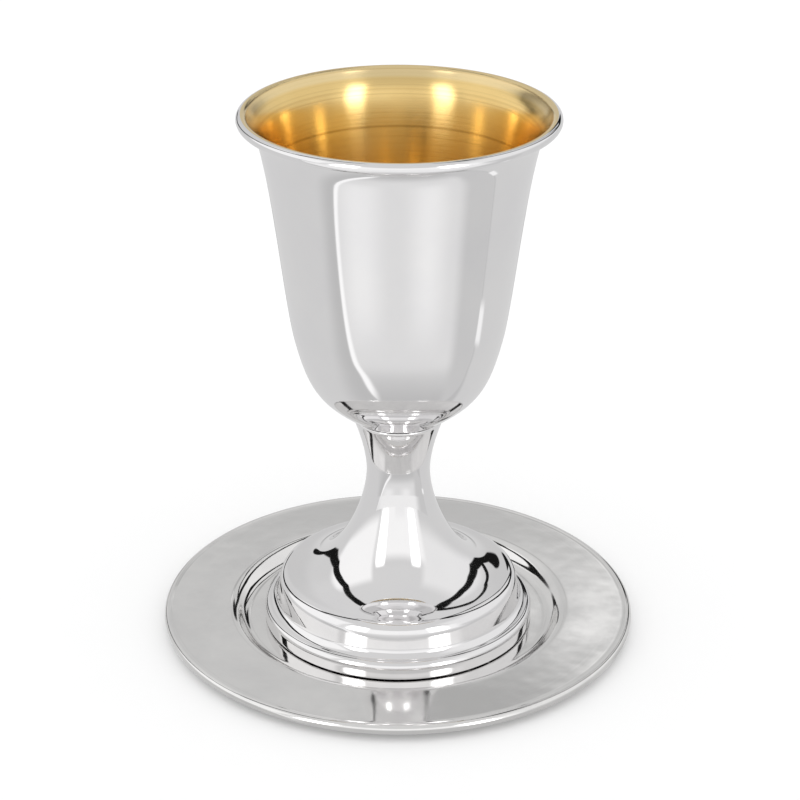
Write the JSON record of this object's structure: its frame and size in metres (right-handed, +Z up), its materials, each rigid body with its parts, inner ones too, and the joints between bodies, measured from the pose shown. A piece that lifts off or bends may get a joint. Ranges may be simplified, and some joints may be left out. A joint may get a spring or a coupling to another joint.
{
  "type": "kiddush cup on saucer",
  "caption": "Polished silver goblet with a gilt inside, a domed foot and a rolled rim, standing in the well of a matching wide-brimmed saucer.",
  "frame": {"origin": "on the surface that the saucer stands on, under the common axis of saucer and cup", "axes": "+Z up along the axis of revolution; X and Y level"},
  "size_m": [0.1248, 0.1248, 0.141],
  "materials": {
    "silver": "mirror-polished sterling silver, satin on the saucer's brim; the inside of the bowl is gilt"
  },
  "bodies": {
    "root": {"saucer": "silver", "foot": "silver", "bowl": "silver"}
  },
  "joints": []
}
